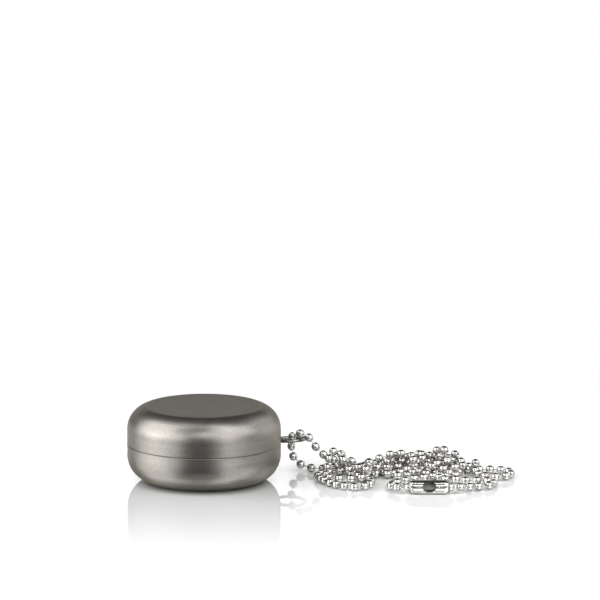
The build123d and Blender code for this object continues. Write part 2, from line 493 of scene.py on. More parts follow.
def grid_faces(rows: int, columns: int, closed_rows: bool, closed_columns: bool) -> np.ndarray:
    """Quads of a grid of points that is numbered row by row.

    Args:
        rows: points along the first direction.
        columns: points along the second direction.
        closed_rows: the last row joins the first.
        closed_columns: the last column joins the first.

    Returns:
        Four point numbers for each quad.
    """
    i = np.arange(rows if closed_rows else rows - 1)[:, None]
    j = np.arange(columns if closed_columns else columns - 1)[None, :]
    low, high = i * columns, ((i + 1) % rows) * columns
    near, far = j, (j + 1) % columns
    quads = np.stack([low + near, high + near, high + far, low + far], axis=-1)
    return quads.reshape(-1, 4)


def make_object(name: str, points: np.ndarray, faces: Sequence[Sequence[int]]) -> bpy.types.Object:
    """Puts points and faces into a smooth-shaded mesh object at the origin.

    Args:
        name: the object's name.
        points: the points, in metres.
        faces: the faces as point numbers.

    Returns:
        The object.
    """
    mesh = bpy.data.meshes.new(name)
    mesh.from_pydata(points.reshape(-1, 3).tolist(), [], [list(map(int, f)) for f in faces])
    mesh.update()
    mesh.shade_smooth()
    made = bpy.data.objects.new(name, mesh)
    bpy.context.scene.collection.objects.link(made)
    return made


def capped_tube(
    across: Sequence[float], along: Sequence[float], sides: int
) -> tuple[np.ndarray, list[list[int]]]:
    """Rings round Z joined into a tube with a flat cap at each end, facing outward.

    Args:
        across: the radius of each ring.
        along: the height of each ring.
        sides: points in a ring.

    Returns:
        The points, one row each, and the faces as point numbers.
    """
    turn = np.arange(sides) * 2.0 * math.pi / sides
    radius, height = np.array(across)[:, None], np.array(along)[:, None]
    rings = [radius * np.cos(turn), radius * np.sin(turn), height + 0.0 * turn]
    faces = grid_faces(len(radius), sides, False, True)[:, ::-1].tolist()
    last = (len(radius) - 1) * sides
    faces.append(list(range(sides))[::-1])
    faces.append([last + n for n in range(sides)])
    return np.stack(rings, axis=-1).reshape(-1, 3), faces


def unit(vectors: np.ndarray) -> np.ndarray:
    """Each vector divided by its own length."""
    return vectors / np.maximum(np.linalg.norm(vectors, axis=-1, keepdims=True), 1e-12)


def span(first: np.ndarray, second: np.ndarray) -> np.ndarray:
    """The distance from each point of first to its partner in second."""
    apart = second - first
    return np.sqrt(apart[..., 0] ** 2 + apart[..., 1] ** 2 + apart[..., 2] ** 2)


# ---------------------------------------------------------------------------------------
# Capsule
# ---------------------------------------------------------------------------------------


class Side(Enum):
    """Which way a thread's ridge stands from the wall that carries it."""

    OUTWARD = 1.0
    INWARD = -1.0


@dataclass
class Thread:
    """A two-start thread as rolled ridges on a plain turned wall.

    Each start is one ridge whose cross-section is a flat-topped wedge. The section is
    carried along a helix, which climbs by the lead in each full turn, and it sinks into
    the wall over the first and last part of its run.

    Attributes:
        wall: the radius of the wall.
        height: how far the ridges stand out.
        lowest: the lowest point of the ridges.
        highest: their highest point.
        side: which way they stand from the wall.
        lead: the climb in one turn.
        starts: how many ridges there are.
        foot: a ridge's width at the wall.
        sunk: how deep its feet reach into the wall.
        run_out: the degrees over which a ridge sinks in at each end.
        phase: the angle at which the first ridge starts, in degrees.
        facet: degrees between two sections.
    """

    wall: float
    height: float
    lowest: float
    highest: float
    side: Side
    lead: float = 2.5 * MM
    starts: int = 2
    foot: float = 0.92 * MM
    sunk: float = 0.12 * MM
    run_out: float = 40.0
    phase: float = 0.0
    facet: float = 5.0

    def build(self, name: str) -> bpy.types.Object:
        """Makes the ridges of all the starts as one closed mesh.

        Args:
            name: the object's name.

        Returns:
            The ridges.
        """
        points, faces, done = [], [], 0
        for start in range(self.starts):
            ridge, quads = self._ridge(self.phase + 360.0 * start / self.starts)
            points.append(ridge)
            faces.extend((quads + done).tolist())
            count = len(ridge) // 6
            ends = [list(range(5, -1, -1)), list(range(6 * count - 6, 6 * count))]
            faces.extend([[n + done for n in end] for end in ends])
            done += len(ridge)
        made = make_object(name, np.vstack(points), faces)
        if self.side is Side.OUTWARD:
            made.data.flip_normals()
        return made

    def _ridge(self, first_angle: float) -> tuple[np.ndarray, np.ndarray]:
        """One start: six section points carried round the helix.

        The section's corners are its two feet just inside the wall, two flank points and
        two crest points. Its height is scaled by a smooth rise and fall along the run.

        Args:
            first_angle: the angle at which the ridge starts, in degrees.

        Returns:
            Its points, six for each section, and its quads.
        """
        rise = (self.highest - self.lowest - self.foot) / self.lead * 360.0
        turn = np.linspace(0.0, rise, max(24, int(rise / self.facet)))
        grow = np.clip(np.minimum(turn, rise - turn) / self.run_out, 0.0, 1.0)
        grow = grow * grow * (3.0 - 2.0 * grow)
        across = np.array([-0.5, -0.42, -0.12, 0.12, 0.42, 0.5]) * self.foot
        out = np.array([-self.sunk, 0.0, self.height, self.height, 0.0, -self.sunk])
        out = np.where(out[None, :] > 0.0, out[None, :] * grow[:, None], out[None, :])
        radius = self.wall + self.side.value * out
        angle = np.radians(first_angle + turn)[:, None]
        z = self.lowest + self.foot / 2.0 + self.lead * turn[:, None] / 360.0 + across[None, :]
        points = np.stack([radius * np.cos(angle), radius * np.sin(angle), z + 0.0 * radius], -1)
        return points.reshape(-1, 3), grid_faces(len(turn), 6, False, True)


@dataclass
class Capsule:
    """The two turned shells, their seals and the eye in the base's wall.

    Attributes:
        thread_height: how far the thread's ridges stand out.
        neck_wall: the neck's radius between the ridges.
        bore_wall: the radius of the lid's bore between its ridges.
        neck_thread: the lowest and highest point of the neck's thread.
        lid_thread: the same for the lid's.
        lid_flat: the radius of the lid's flat top.
    """

    thread_height: float = 0.42 * MM
    neck_wall: float = 18.6 * MM
    bore_wall: float = 19.2 * MM
    neck_thread: tuple[float, float] = (12.65 * MM, 16.05 * MM)
    lid_thread: tuple[float, float] = (12.75 * MM, 16.65 * MM)
    lid_flat: float = 16.6 * MM

    def dress(self, frame: Mapping[str, Any]) -> None:
        """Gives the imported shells, seals and eye their finishes.

        Args:
            frame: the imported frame, with its nodes by name.
        """
        low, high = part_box("lid_shell")
        mouth, top = (high.x, low.z), (self.lid_flat, high.z)
        finishes = {
            "lid_shell": SatinTitanium(name="satin_titanium_lid", worn_edges=(top, mouth)),
            "base_shell": SatinTitanium(name="satin_titanium_base", worn_edges=(mouth,)),
            "lanyard_eye": BrightNickel(
                name="drawn_wire",
                colour=(0.25, 0.245, 0.235),
                shade=(0.18, 0.175, 0.17),
                roughness=0.10,
                drawn=True,
            ),
            "o_ring": MouldedRubber(name="seal_rubber"),
            "gasket": MouldedRubber(
                name="gasket_rubber", colour=(0.62, 0.61, 0.58), dust=(0.50, 0.49, 0.46)
            ),
        }
        for node, finish in finishes.items():
            assign(frame["nodes"][node], finish.material())
            LOG.info("dressed %s", node)

    def build(self, finish: bpy.types.Material) -> None:
        """Adds the ridges of the thread to the neck and to the lid's bore.

        Args:
            finish: the ridges' finish.
        """
        neck = Thread(self.neck_wall, self.thread_height, *self.neck_thread, Side.OUTWARD)
        lid = Thread(
            self.bore_wall, self.thread_height, *self.lid_thread, Side.INWARD, phase=90.0
        )
        for name, thread, body in (("thread_base", neck, "base"), ("thread_lid", lid, "lid")):
            made = thread.build(name)
            assign(made, finish)
            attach(made, body)
            LOG.info("built %s", name)


def assign(target: bpy.types.Object, material: bpy.types.Material) -> None:
    """Puts one material on every slot of an object.

    Args:
        target: the object.
        material: its material.
    """
    if not target.data.materials:
        target.data.materials.append(material)
    for index in range(len(target.data.materials)):
        target.data.materials[index] = material


# ---------------------------------------------------------------------------------------
# Chain
# ---------------------------------------------------------------------------------------

Points = Sequence[tuple[float, ...]]


class Layout:
    """Where the one closed chain lies, in millimetres, as it was dropped on the table.

    It hangs over the eye, and both falls run into a loose heap: the outer fall through
    strand_outer to the coupling's left end, and the inner fall through strand_inner, the
    front loop, strand_middle, the right edge and strand_right to its right end. A strand
    is given by the plan of its loops, and what lies under it gives its height.
    """

    over_eye: Points = (
        (40.4, 7.4, 3.9), (36.8, 7.0, 4.1), (33.7, 6.8, 6.0), (31.4, 7.0, 8.7), (29.7, 7.4, 11.4),
        (25.3, 10.8, 11.65), (24.8, 12.0, 7.5), (25.5, 13.0, 3.1), (28.8, 10.8, 1.2),
        (33.6, 8.8, 1.2), (37.0, 10.2, 1.2),
    )
    front_loop: Points = (
        (38.8, 5.8, 1.2), (34.6, 4.8, 1.2), (32.2, 0.8, 1.2), (33.4, -4.6, 1.2),
        (36.0, -10.2, 1.2), (40.0, -14.6, 1.2), (44.6, -15.8, 1.2), (47.4, -12.2, 1.2),
        (48.0, -7.2, 1.2), (46.6, -2.0, 1.2),
    )
    left_lead: Points = (
        (58.3, -19.2, 2.0), (55.1, -19.2, 2.0), (52.9, -16.0, 1.5), (53.8, -11.2, 1.2),
        (57.0, -7.4, 1.2), (60.0, -4.2, 1.2),
    )
    right_lead: Points = (
        (70.1, -19.2, 2.0), (72.9, -19.2, 2.0), (75.4, -16.2, 1.4), (78.6, -14.6, 1.2),
        (82.2, -13.0, 1.2), (82.8, -8.8, 1.2), (79.4, -6.5, 1.2), (75.4, -7.5, 1.2),
        (72.0, -5.0, 1.2),
    )
    right_edge: Points = (
        (78.2, 1.6, 1.2), (81.2, -1.8, 1.2), (85.6, -2.0, 1.2), (88.3, 1.6, 1.2), (87.2, 6.0, 1.2),
        (83.2, 8.2, 1.2), (78.8, 7.6, 1.2),
    )
    strand_outer: Points = (
        (40.4, 7.4), (45.0, 8.5), (49.0, 4.0), (48.0, -2.5), (42.0, -5.5), (35.5, -4.0),
        (33.0, 2.0), (36.0, 8.0), (42.5, 11.5), (49.0, 9.0), (51.5, 3.0), (46.0, 0.5), (39.5, 1.0),
        (37.0, 5.5), (41.0, 11.0), (47.0, 13.0), (52.0, 11.0), (56.0, 8.0), (60.0, 11.5),
        (65.0, 10.0), (62.0, 5.0), (56.0, 6.5), (54.0, 11.5), (60.0, 13.5), (67.0, 11.5),
        (72.0, 7.5), (69.0, 2.5), (63.0, 2.0), (59.0, 6.5), (62.0, 10.5), (69.0, 9.0), (74.0, 3.0),
        (70.0, -1.0), (64.0, -2.0), (60.0, -4.2),
    )
    strand_inner: Points = (
        (37.0, 10.2), (41.0, 13.4), (46.5, 12.4), (50.0, 7.4), (50.0, 1.4), (46.0, -2.6),
        (42.0, 0.4), (44.0, 5.4), (42.0, 6.6), (38.8, 5.8),
    )
    strand_middle: Points = (
        (46.6, -2.0), (44.5, 3.4), (47.0, 9.4), (53.0, 12.9), (58.0, 9.4), (56.0, 2.4),
        (50.5, 2.9), (51.0, 9.9), (57.0, 13.9), (62.0, 10.4), (64.0, 4.4), (70.0, 0.4),
        (75.0, 4.4), (73.0, 11.4), (66.0, 13.4), (62.0, 8.4), (66.0, 4.4), (71.0, 8.4),
        (76.0, 12.4), (80.0, 9.4), (77.0, 5.1), (78.2, 1.6),
    )
    strand_right: Points = (
        (78.8, 7.6), (73.0, 9.4), (67.0, 10.4), (61.0, 13.4), (54.0, 12.9), (50.5, 6.4),
        (52.0, -0.6), (58.0, -0.6), (62.0, 4.4), (58.0, 10.9), (63.0, 14.4), (70.0, 13.4),
        (71.0, 7.4), (65.0, 4.4), (61.0, 8.4), (66.0, 11.9), (73.0, 11.4), (74.0, 5.4),
        (69.0, 1.4), (65.0, -1.1), (68.0, -4.1), (72.0, -5.0),
    )


@dataclass
class Stretch:
    """A stretch of the chain between two known places.

    Attributes:
        route: its control points.
        free: it lies in the heap, so its height isn't known beforehand.
        rests_at_start: its start lies on the table.
        reverse: it is walked from its last point to its first.
    """

    route: Points
    free: bool = False
    rests_at_start: bool = True
    reverse: bool = False

    def control(self) -> np.ndarray:
        """The control points in walking order, with the table's height where none is given."""
        points = np.array([(*p, 1.2) if len(p) == 2 else p for p in self.route], float)
        return points[::-1] if self.reverse else points


def spline_line(control: np.ndarray, fineness: int = 12) -> np.ndarray:
    """The line of the smooth NURBS spline that has those control points.

    Args:
        control: control points, one row each.
        fineness: steps for each piece of the spline, an even number.

    Returns:
        Points along the line, one row each.
    """
    data = bpy.data.curves.new("route", "CURVE")
    data.dimensions = "3D"
    spline = data.splines.new("NURBS")
    spline.points.add(len(control) - 1)
    spline.points.foreach_set("co", np.c_[control, np.ones(len(control))].ravel())
    spline.order_u = 3
    spline.use_endpoint_u = True
    spline.resolution_u = fineness
    route = bpy.data.objects.new("route", data)
    bpy.context.scene.collection.objects.link(route)
    graph = bpy.context.evaluated_depsgraph_get()
    mesh = bpy.data.meshes.new_from_object(route.evaluated_get(graph))
    line = np.zeros(len(mesh.vertices) * 3)
    mesh.vertices.foreach_get("co", line)
    bpy.data.objects.remove(route)
    bpy.data.curves.remove(data)
    bpy.data.meshes.remove(mesh)
    return line.reshape(-1, 3)


def evenly(line: np.ndarray, step: float) -> np.ndarray:
    """Points along a line at equal distances as near to step as fit a whole number.

    Args:
        line: the line, one point a row.
        step: the distance wanted.

    Returns:
        The points, with both ends of the line.
    """
    run = np.concatenate([[0.0], np.cumsum(span(line[:-1], line[1:]))])
    at = np.linspace(0.0, run[-1], max(2, int(round(run[-1] / step)) + 1))
    return np.stack([np.interp(at, run, line[:, axis]) for axis in range(3)], axis=1)


@dataclass
class Heap:
    """Lays every ball of the chain down, then lets the heap settle under its own weight.

    All lengths are in millimetres. Balls are numbered from the coupling's left end, over
    the eye and on to its right end. Those of the known stretches stay where they are.

    Attributes:
        ball: the size of a ball.
        pitch: the distance between balls as they are laid down.
        shortest: the least that a link allows.
        longest: the most that it allows.
        bend_reach: the least distance between a ball and the next but one.
        stiffness: how much of a kink each ease takes out.
        sideways: how far balls that meet part sideways, as a share of their parting upwards.
        wall: the radius round the capsule's axis that the balls stay out of.
        steps: how often the balls sink.
        fall: how far they sink each time.
        calm_steps: how many of the last steps are calm ones.
        calm: the share of the fall in those.
        eases: how often the chain is eased after each fall.
        haste: how many moves of a ball may add up in one ease.
    """

    ball: float = 2.4
    pitch: float = 3.25
    shortest: float = 3.05
    longest: float = 3.40
    bend_reach: float = 5.3
    stiffness: float = 0.6
    sideways: float = 0.12
    wall: float = 23.4
    steps: int = 900
    fall: float = 0.02
    calm_steps: int = 200
    calm: float = 0.4
    eases: int = 3
    haste: float = 1.6

    def settle(self, places: np.ndarray, held: np.ndarray, depth: np.ndarray) -> np.ndarray:
        """Where the balls come to rest.

        Args:
            places: the balls' places before they are laid down.
            held: which balls stay where they are.
            depth: how far along the chain each free ball is from the table. The balls
                with the least lie lowest.

        Returns:
            The balls' places in the heap.
        """
        places = np.round(places, 5)
        places[:, 2] = self._lay(places, held, depth)
        free = np.where(held, 0.0, 1.0)
        count = len(places)
        first, second = np.triu_indices(count, 2)
        one = np.arange(count - 1)
        for step in range(self.steps):
            slower = 1.0 if step < self.steps - self.calm_steps else self.calm
            places[:, 2] -= self.fall * slower * free
            for _ in range(self.eases):
                places = self._ease(places, free, one, first, second)
        return places

    def _lay(self, places: np.ndarray, held: np.ndarray, depth: np.ndarray) -> np.ndarray:
        """Heights of balls put down one by one, each on whatever already lies under it.

        A ball rests on the highest of the balls that it overlaps in plan, at that ball's
        height plus the root of the ball's size squared less their distance in plan squared.

        Args:
            places: the balls' places before they are laid down.
            held: which balls stay where they are.
            depth: how far along the chain each free ball is from the table.

        Returns:
            The balls' heights.
        """
        height = places[:, 2].copy()
        laid = np.flatnonzero(held).tolist()
        for ball in np.argsort(np.where(held, -1.0, depth), kind="stable"):
            if held[ball]:
                continue
            under = np.array(laid)
            apart = (places[under, :2] - places[ball, :2]) ** 2
            apart = apart[:, 0] + apart[:, 1]
            touching = (apart < self.ball**2) & (np.abs(under - ball) > 2)
            tops = height[under] + np.sqrt(np.maximum(self.ball**2 - apart, 0.0))
            height[ball] = max(self.ball / 2.0, tops[touching].max() if touching.any() else 0.0)
            laid.append(int(ball))
        return height

    def _ease(
        self,
        places: np.ndarray,
        free: np.ndarray,
        one: np.ndarray,
        first: np.ndarray,
        second: np.ndarray,
    ) -> np.ndarray:
        """Moves the balls a little towards a chain that doesn't stretch, kink or overlap.

        Args:
            places: the balls' places.
            free: 1 for a ball that may move, 0 for one that is held.
            one: the number of the first ball of each link.
            first: the first ball of each pair that could meet.
            second: the second ball of each of those pairs.

        Returns:
            The balls' new places.
        """
        moves = np.zeros_like(places)
        votes = np.zeros(len(places))

        def part(low: np.ndarray, high: np.ndarray, apart: np.ndarray) -> None:
            """Shares a change of distance between the two balls of each pair."""
            weight_low, weight_high = free[low], free[high]
            both = np.maximum(weight_low + weight_high, 1.0)
            np.add.at(moves, low, -apart * (weight_low / both)[:, None])
            np.add.at(moves, high, apart * (weight_high / both)[:, None])
            np.add.at(votes, low, weight_low)
            np.add.at(votes, high, weight_high)

        length = span(places[one], places[one + 1])
        change = (np.clip(length, self.shortest, self.longest) - length) / length
        part(one, one + 1, (places[one + 1] - places[one]) * change[:, None])
        length = span(places[one[:-1]], places[one[:-1] + 2])
        kinked = one[:-1][length < self.bend_reach]
        change = self.stiffness * (self.bend_reach - length[kinked]) / length[kinked]
        part(kinked, kinked + 2, (places[kinked + 2] - places[kinked]) * change[:, None])
        length = span(places[first], places[second])
        hits = length < self.ball
        low, high, length = first[hits], second[hits], length[hits]
        change = (self.ball - length) / length
        apart = (places[high] - places[low]) * change[:, None]
        part(low, high, apart * np.array([self.sideways, self.sideways, 1.0]))
        share = np.minimum(votes, self.haste) / np.maximum(votes, 1.0)
        places = places + moves * share[:, None]
        lifted = np.maximum(places[:, 2], self.ball / 2.0)
        places[:, 2] = np.where(free > 0.0, lifted, places[:, 2])
        reach = np.sqrt(places[:, 0] ** 2 + places[:, 1] ** 2)
        inside = (reach < self.wall) & (free > 0.0)
        places[inside, :2] *= (self.wall / reach[inside])[:, None]
        return np.round(places, 8)


@dataclass
class BallChain:
    """The ball chain: hollow balls on short wire links, as two cords from the eye.

    Attributes:
        ball: the size of a ball.
        hole: the radius of the hole that a link comes out of.
        wire: the thickness of a link.
        link_ends: where a link starts and ends, as shares of the way between two balls.
        sides: sides of a ball before it is smoothed.
        cap_depth: where a hole's closing cap lies, as a share of the ball's radius.
        cap_width: the cap's radius, as a share of the hole's.
        search: how many points of the line are searched for the next ball's place.
        heap: how the balls lie.
    """

    ball: float = 2.4 * MM
    hole: float = 0.40 * MM
    wire: float = 0.36 * MM
    link_ends: tuple[float, float] = (0.22, 0.78)
    sides: int = 8
    cap_depth: float = 0.62
    cap_width: float = 0.8
    search: int = 60
    heap: Heap = field(default_factory=Heap)

    def build(self, finish: bpy.types.Material) -> None:
        """Lays the chain out, then makes its two cords and attaches them to the base.

        Args:
            finish: the finish of balls and links.
        """
        outer = [
            Stretch(Layout.strand_outer, free=True, rests_at_start=False),
            Stretch(Layout.left_lead, reverse=True),
        ]
        inner = [
            Stretch(Layout.strand_inner, free=True),
            Stretch(Layout.front_loop),
            Stretch(Layout.strand_middle, free=True),
            Stretch(Layout.right_edge),
            Stretch(Layout.strand_right, free=True),
            Stretch(Layout.right_lead, reverse=True),
        ]
        eye = np.array(Layout.over_eye, float)
        over = evenly(spline_line(eye), self.heap.pitch)
        top = int(np.argmax(over[:, 2]))
        falls = {"chain_outer": (over[: top + 1][::-1], outer), "chain_inner": (over[top:], inner)}
        laid = {name: self._lay_out(fall, runs) for name, (fall, runs) in falls.items()}
        balls = self._settled(laid["chain_outer"], laid["chain_inner"])
        split = len(laid["chain_outer"][0])
        parts = {
            "chain_outer": (balls[:split][::-1], eye[4::-1], outer),
            "chain_inner": (balls[split - 1 :], eye[5:], inner),
        }
        replaced = {
            "chain_outer": ("chain_over_eye", "chain_heap_left", "chain_left_lead"),
            "chain_inner": (
                "chain_heap_right", "chain_front_loop", "chain_right_edge", "chain_right_lead"
            ),
        }
        summit = (eye[4] + eye[5]) / 2.0
        for name, (places, fall, runs) in parts.items():
            control = self._control(places, np.vstack([summit, fall]), runs, laid[name][3])
            line = spline_line(control * MM)
            made = self._mesh(name, line, places * MM)
            assign(made, finish)
            self._declare(made, line, replaced[name])
            LOG.info("built %s: %d balls", name, len(places))

    def _declare(
        self, made: bpy.types.Object, line: np.ndarray, nodes: Sequence[str]
    ) -> None:
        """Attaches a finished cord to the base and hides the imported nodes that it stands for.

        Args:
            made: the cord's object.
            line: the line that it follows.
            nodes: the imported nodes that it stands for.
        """
        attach(made, "base")
        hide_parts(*nodes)
        length = float(span(line[:-1], line[1:]).sum())

    def _lay_out(self, fall: np.ndarray, runs: Sequence[Stretch]) -> tuple[Any, ...]:
        """Places, held flags, depths and run starts of the balls of one cord, from the eye on.

        Args:
            fall: the balls of the cord's fall from the eye.
            runs: the stretches that follow it.

        Returns:
            The places, flags and depths, one for each ball, and the number of the ball at which
            each stretch starts.
        """
        places, held, depth = [fall], [np.full(len(fall), True)], [np.full(len(fall), -1.0)]
        begins, begin = [], len(fall) - 1
        for stretch in runs:
            balls = evenly(spline_line(stretch.control()), self.heap.pitch)
            along = np.arange(len(balls)) * self.heap.pitch
            from_start = along if stretch.rests_at_start else np.full(len(balls), 1e3)
            fixed = np.full(len(balls), not stretch.free)
            fixed[0] = fixed[-1] = True
            begins.append(begin)
            begin += len(balls) - 1
            places.append(balls[1:])
            held.append(fixed[1:])
            depth.append(np.minimum(from_start, along[-1] - along)[1:])
        return np.vstack(places), np.concatenate(held), np.concatenate(depth), begins + [begin]

    def _settled(self, outer: tuple[Any, ...], inner: tuple[Any, ...]) -> np.ndarray:
        """All the balls at rest, from the coupling's left end over the eye to its right end."""
        joined = [np.concatenate([outer[k][::-1], inner[k][1:]]) for k in range(3)]
        return self.heap.settle(*joined)

    def _control(
        self, places: np.ndarray, fall: np.ndarray, runs: Sequence[Stretch], begins: Sequence[int]
    ) -> np.ndarray:
        """Control points of a cord: the known stretches' own, and one for each free ball.

        A free ball's control point is the ball's place plus an eighth of twice the place
        less its two neighbours' places, so that the spline passes through the ball.

        Args:
            places: the cord's balls at rest.
            fall: control points of its fall from the eye.
            runs: the stretches that follow it.
            begins: the number of the ball at which each stretch starts.

        Returns:
            The control points, one row each, in millimetres.
        """
        control = [fall]
        for number, stretch in enumerate(runs):
            first, last = begins[number], begins[number + 1]
            if stretch.free:
                inside = places[first + 1 : last]
                around = places[first : last - 1] + places[first + 2 : last + 1]
                control.append(inside + (2.0 * inside - around) / 8.0)
            else:
                control.append(stretch.control())
        points = np.vstack(control)
        points[:, 2] = np.maximum(points[:, 2], 1.2)
        return points

    def _mesh(self, name: str, line: np.ndarray, places: np.ndarray) -> bpy.types.Object:
        """Balls and links along a cord's line, a ball at the line's point nearest each place.

        Args:
            name: the cord's name.
            line: the line that it follows.
            places: its balls' places.

        Returns:
            The cord's object.
        """
        centres = self._nearest(line, places)
        ahead = np.vstack([centres[1:] - centres[:-1], centres[-1:] - centres[-2:-1]])
        behind = np.vstack([ahead[:1], ahead[:-1]])
        axis = unit(unit(ahead) + unit(behind))
        ball_points, ball_faces = self._ball()
        link_points, link_faces = self._link()
        gaps = span(centres[:-1], centres[1:])
        points, faces = [], []
        for shape, quads, where, turned, stretch in (
            (ball_points, ball_faces, centres, axis, None),
            (link_points, link_faces, centres[:-1], unit(ahead[:-1]), gaps),
        ):
            side, up = self._frames(turned)
            along = shape[None, :, 2] * (1.0 if stretch is None else stretch[:, None])
            laid = (
                where[:, None, :]
                + shape[None, :, 0, None] * side[:, None, :]
                + shape[None, :, 1, None] * up[:, None, :]
                + along[..., None] * turned[:, None, :]
            )
            done = sum(len(p) for p in points)
            offsets = done + np.arange(len(where)) * len(shape)
            faces.extend([[n + int(o) for n in face] for o in offsets for face in quads])
            points.append(laid.reshape(-1, 3))
        made = make_object(name, np.vstack(points), faces)
        rounder = made.modifiers.new("rounder", "SUBSURF")
        rounder.levels = rounder.render_levels = 1
        return made

    def _nearest(self, line: np.ndarray, places: np.ndarray) -> np.ndarray:
        """For each place in turn, the line's nearest point that lies ahead of the last one.

        Args:
            line: the line, one point a row.
            places: the places, in their order along the line.

        Returns:
            A point of the line for each place.
        """
        found, last = [], 0
        for place in places:
            ahead = line[last : last + self.search]
            last += int(np.argmin(span(ahead, place[None, :])))
            found.append(line[last])
        return np.array(found)

    @staticmethod
    def _frames(axis: np.ndarray) -> tuple[np.ndarray, np.ndarray]:
        """Two directions square to each axis and to each other.

        Args:
            axis: unit vectors, one a row.

        Returns:
            The two directions for each axis, as unit vectors.
        """
        helper = np.where(np.abs(axis[:, 2:3]) > 0.9, [[1.0, 0.0, 0.0]], [[0.0, 0.0, 1.0]])
        side = unit(np.cross(helper, axis))
        return side, np.cross(axis, side)

    def _ball(self) -> tuple[np.ndarray, list[list[int]]]:
        """A hollow ball: a circle's arc turned about the chain, with a drawn-in hole each end.

        The arc's rings are at equal angles between the two holes. One smaller ring inside
        each hole and a flat cap close the mesh. Smoothing draws a regular polygon's corners
        in to (4 + 2 cos a) / 6 of their radius, where a is the angle between two corners,
        once for the turn and once for the arc, so the ball starts that much larger.

        Returns:
            Its points and faces, with the chain along Z.
        """
        tilt = math.asin(2.0 * self.hole / self.ball)
        rings = np.linspace(tilt, math.pi - tilt, 6)
        shrink = (4.0 + 2.0 * math.cos(2.0 * math.pi / self.sides)) / 6.0
        shrink *= (4.0 + 2.0 * math.cos(rings[1] - rings[0])) / 6.0
        radius = self.ball / 2.0 / shrink
        deep, narrow = self.cap_depth * radius, self.cap_width * self.hole
        along = np.concatenate([[-deep], -radius * np.cos(rings), [deep]])
        across = np.concatenate([[narrow], radius * np.sin(rings), [narrow]])
        return capped_tube(across, along, self.sides)

    def _link(self) -> tuple[np.ndarray, list[list[int]]]:
        """A wire link from one ball's middle to the next, of length 1 along the chain."""
        return capped_tube([self.wire / 2.0] * 2, self.link_ends, 6)


# ---------------------------------------------------------------------------------------
# Studio
# ---------------------------------------------------------------------------------------


def grey(level: float) -> Colour:
    """The neutral colour of a level."""
    return level, level, level


@dataclass(frozen=True)
class SoftBox:
    """A large soft lamp that faces the capsule.

    Attributes:
        name: the lamp's name.
        azimuth: its bearing in degrees, 0 at the viewer and 90 at the right.
        elevation: its height above the table in degrees.
        width: its width in metres.
        height: its height in metres.
        power: its power in watts.
        distance: how far it stands from the capsule in metres.
    """

    name: str
    azimuth: float
    elevation: float
    width: float
    height: float
    power: float
    distance: float = 0.75

    def build(self, aim: np.ndarray) -> None:
        """Adds the lamp, turned towards the aim.

        Args:
            aim: the point that it faces.
        """
        data = bpy.data.lights.new(self.name, "AREA")
        data.shape, data.size, data.size_y = "RECTANGLE", self.width, self.height
        data.energy = self.power
        lamp = bpy.data.objects.new(self.name, data)
        bpy.context.scene.collection.objects.link(lamp)
        out = direction(self.azimuth, self.elevation)
        lamp.location = aim + out * self.distance
        lamp.rotation_euler = look_from(out)


def direction(azimuth: float, elevation: float) -> np.ndarray:
    """The unit vector from the object towards a bearing and a height, in degrees.

    Args:
        azimuth: the bearing, 0 at the viewer and 90 at the right.
        elevation: the height above the table.

    Returns:
        The unit vector.
    """
    bearing, height = math.radians(azimuth), math.radians(elevation)
    flat = math.cos(height)
    return np.array([math.sin(bearing) * flat, -math.cos(bearing) * flat, math.sin(height)])


def look_from(out: np.ndarray) -> tuple[float, float, float]:
    """Turns a camera or a lamp that stands out from the object so that it faces it.

    Args:
        out: the unit vector from the object to the camera or lamp.

    Returns:
        Its rotation as Euler angles.
    """
    tilt = math.atan2(math.hypot(out[0], out[1]), out[2])
    return tilt, 0.0, math.atan2(out[0], -out[1])


